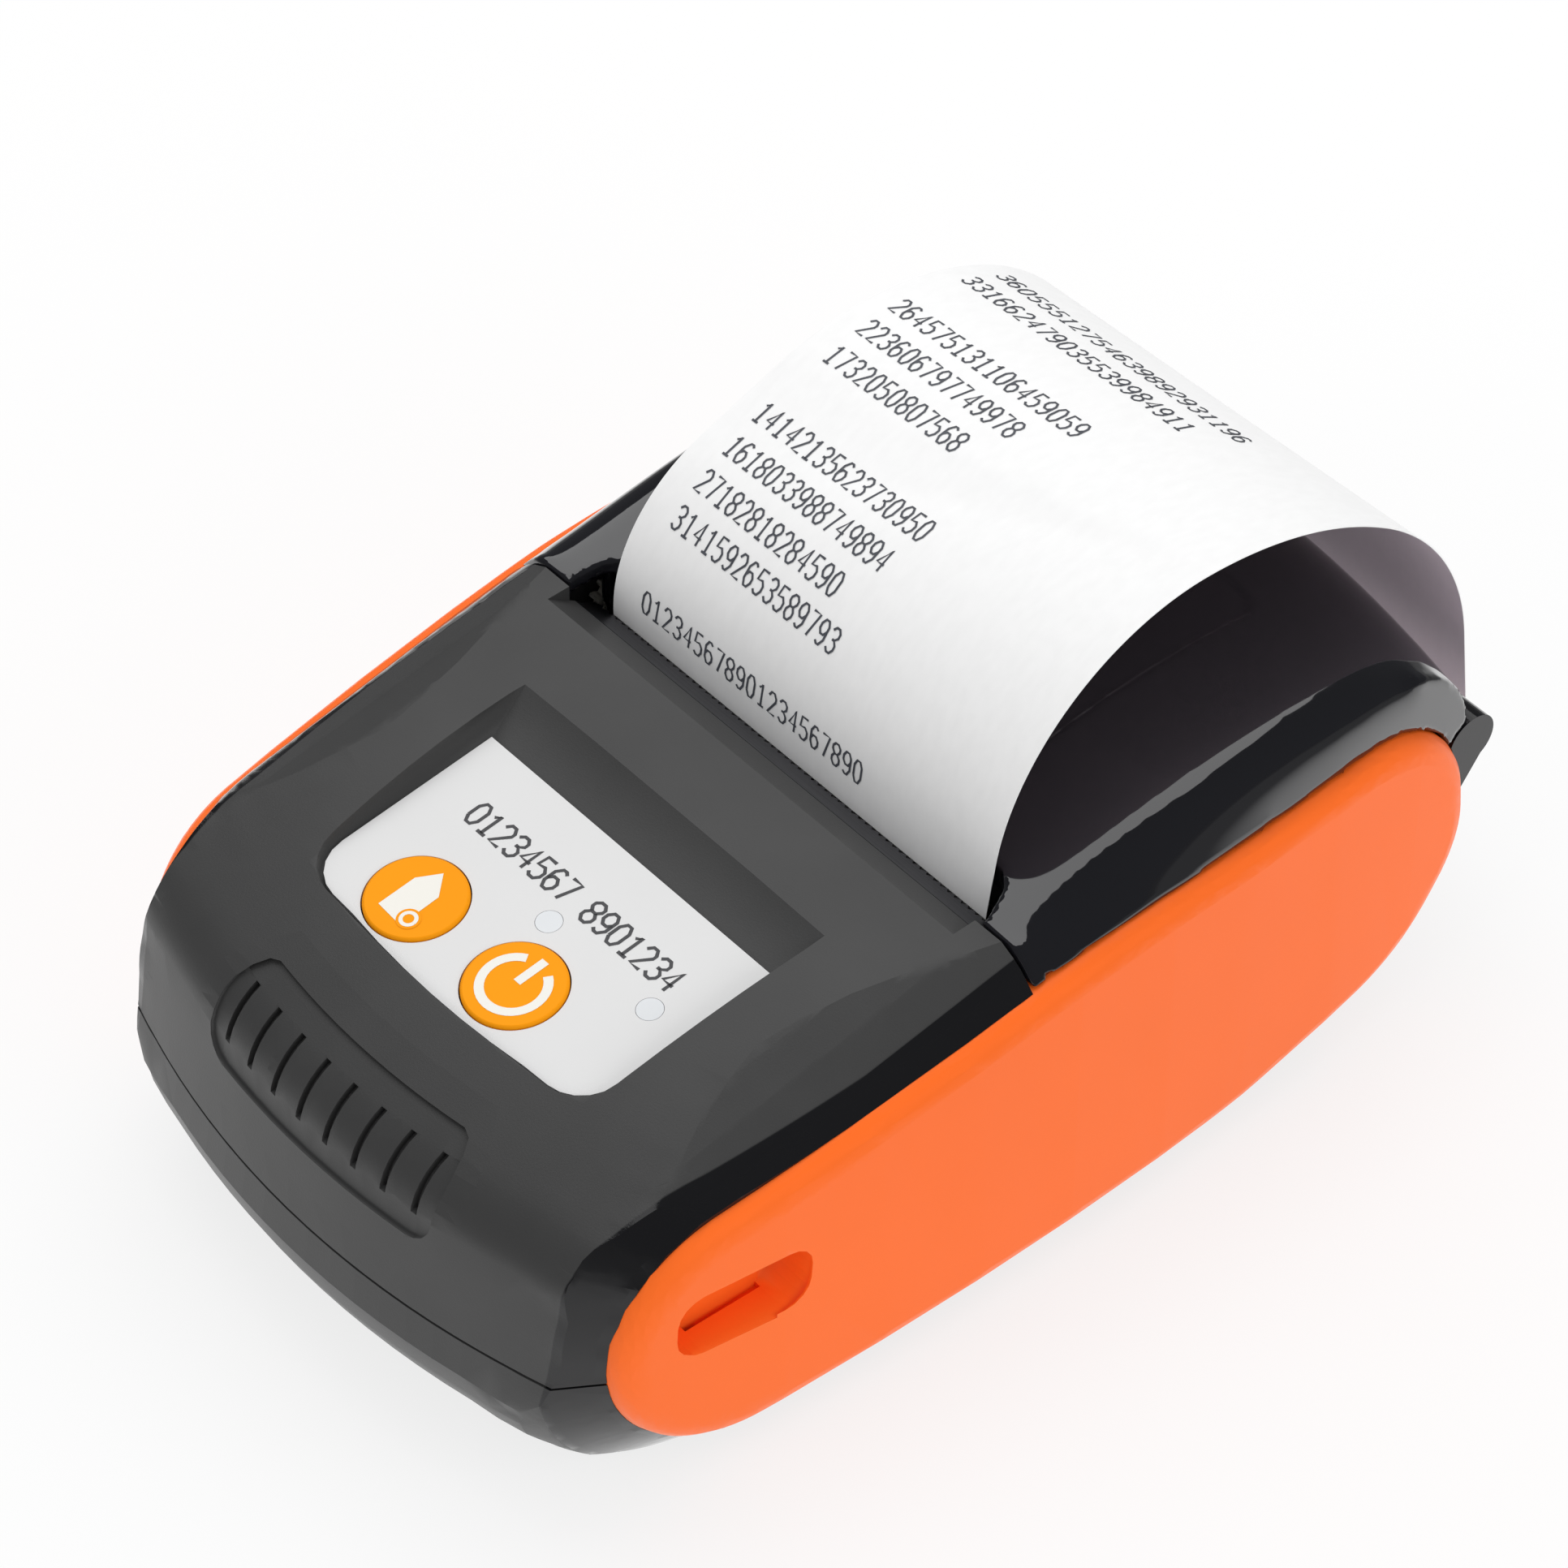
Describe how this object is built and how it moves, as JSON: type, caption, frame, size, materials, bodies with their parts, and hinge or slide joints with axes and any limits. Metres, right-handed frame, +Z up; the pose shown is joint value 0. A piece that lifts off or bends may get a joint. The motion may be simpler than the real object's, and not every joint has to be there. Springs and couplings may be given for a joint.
{
  "type": "portable_receipt_printer",
  "caption": "Portable thermal receipt printer with a hinged gloss lid over its roll bay, amber keys and orange side panels; the receipt loops back over the lid",
  "frame": {"origin": "centre of the bounding box of the whole printer on the floor plane, under the rubber feet", "axes": "+X to the user's right, +Y from the nose to the hinge, +Z up"},
  "size_m": [0.084, 0.1344, 0.0686],
  "materials": {
    "housing_plastic": "satin",
    "panel_plastic": "satin",
    "lid_plastic": "gloss",
    "steel": "brushed",
    "label": "satin film",
    "key_plastic": "satin",
    "light_window": "clear frosted",
    "board": "solder mask",
    "black_plastic": "matte",
    "dark_steel": "blackened",
    "rubber": "matte",
    "nylon": "matte",
    "brass": "machined",
    "ceramic": "glazed ceramic",
    "aluminium": "extruded",
    "battery_wrap": "shrink wrap",
    "paper": "thermal paper",
    "card": "cardboard"
  },
  "bodies": {
    "housing": {"top_housing": "housing_plastic", "bottom_housing": "housing_plastic", "side_panel_left": "panel_plastic", "side_panel_right": "panel_plastic", "paper_bay": "housing_plastic", "hinge_pin": "steel", "control_label": "label", "status_lights": "light_window", "key_board": "board", "key_switches": "black_plastic", "tear_bar": "dark_steel", "mech_frame": "steel", "drive_motor": "steel", "head_spring": "steel", "main_board": "board", "board_chips": "black_plastic", "port": "steel", "battery_pack": "battery_wrap", "paper_feed": "paper", "paper_sensor": "black_plastic", "rubber_feet": "rubber", "housing_screws": "dark_steel"},
    "lid": {"lid": "lid_plastic", "receipt": "paper", "platen_bushes": "nylon"},
    "platen": {"platen_shaft": "steel", "platen_rubber": "rubber", "platen_gear": "nylon"},
    "idler": {"idler_gear": "nylon"},
    "pinion": {"motor_pinion": "brass"},
    "feed_key": {"feed_button": "key_plastic"},
    "power_key": {"power_button": "key_plastic"},
    "head": {"print_head": "ceramic", "heat_sink": "aluminium"},
    "roll": {"paper_roll": "paper", "roll_core": "card"}
  },
  "joints": [
    {"name": "lid_hinge", "type": "hinge", "parent": "housing", "child": "lid", "pos_m": [0, 0.0609, 0.0293], "axis": [-1, 0, 0], "range_deg": [0, 80]},
    {"name": "platen_spin", "type": "hinge", "parent": "lid", "child": "platen", "pos_m": [0, 0.0064, 0.0325], "axis": [1, 0, 0], "continuous": true},
    {"name": "idler_spin", "type": "hinge", "parent": "housing", "child": "idler", "pos_m": [0, 0.00556, 0.02053], "axis": [1, 0, 0], "continuous": true},
    {"name": "pinion_spin", "type": "hinge", "parent": "housing", "child": "pinion", "pos_m": [0, -0.00289, 0.01745], "axis": [1, 0, 0], "continuous": true},
    {"name": "roll_spin", "type": "hinge", "parent": "housing", "child": "roll", "pos_m": [0, 0.0335, 0.0256], "axis": [1, 0, 0], "continuous": true},
    {"name": "head_pivot", "type": "hinge", "parent": "housing", "child": "head", "pos_m": [0, -0.003, 0.0278], "axis": [1, 0, 0], "range_deg": [0, 2], "stiffness_Nm_per_rad": 1.5, "springref_deg": -2.86, "deforming": ["head_spring"]},
    {"name": "feed_press", "type": "slide", "parent": "housing", "child": "feed_key", "axis": [0, 0.1045, -0.9945], "range_m": [0, 0.0004], "stiffness_N_per_m": 400, "springref_m": -0.0005},
    {"name": "power_press", "type": "slide", "parent": "housing", "child": "power_key", "axis": [0, 0.1045, -0.9945], "range_m": [0, 0.0004], "stiffness_N_per_m": 400, "springref_m": -0.0005}
  ],
  "couplings": [
    {"joint": "idler_spin", "follows": "platen_spin", "ratio": -0.84615},
    {"joint": "pinion_spin", "follows": "platen_spin", "ratio": 2.2},
    {"joint": "roll_spin", "follows": "platen_spin", "ratio": 0.27778}
  ]
}
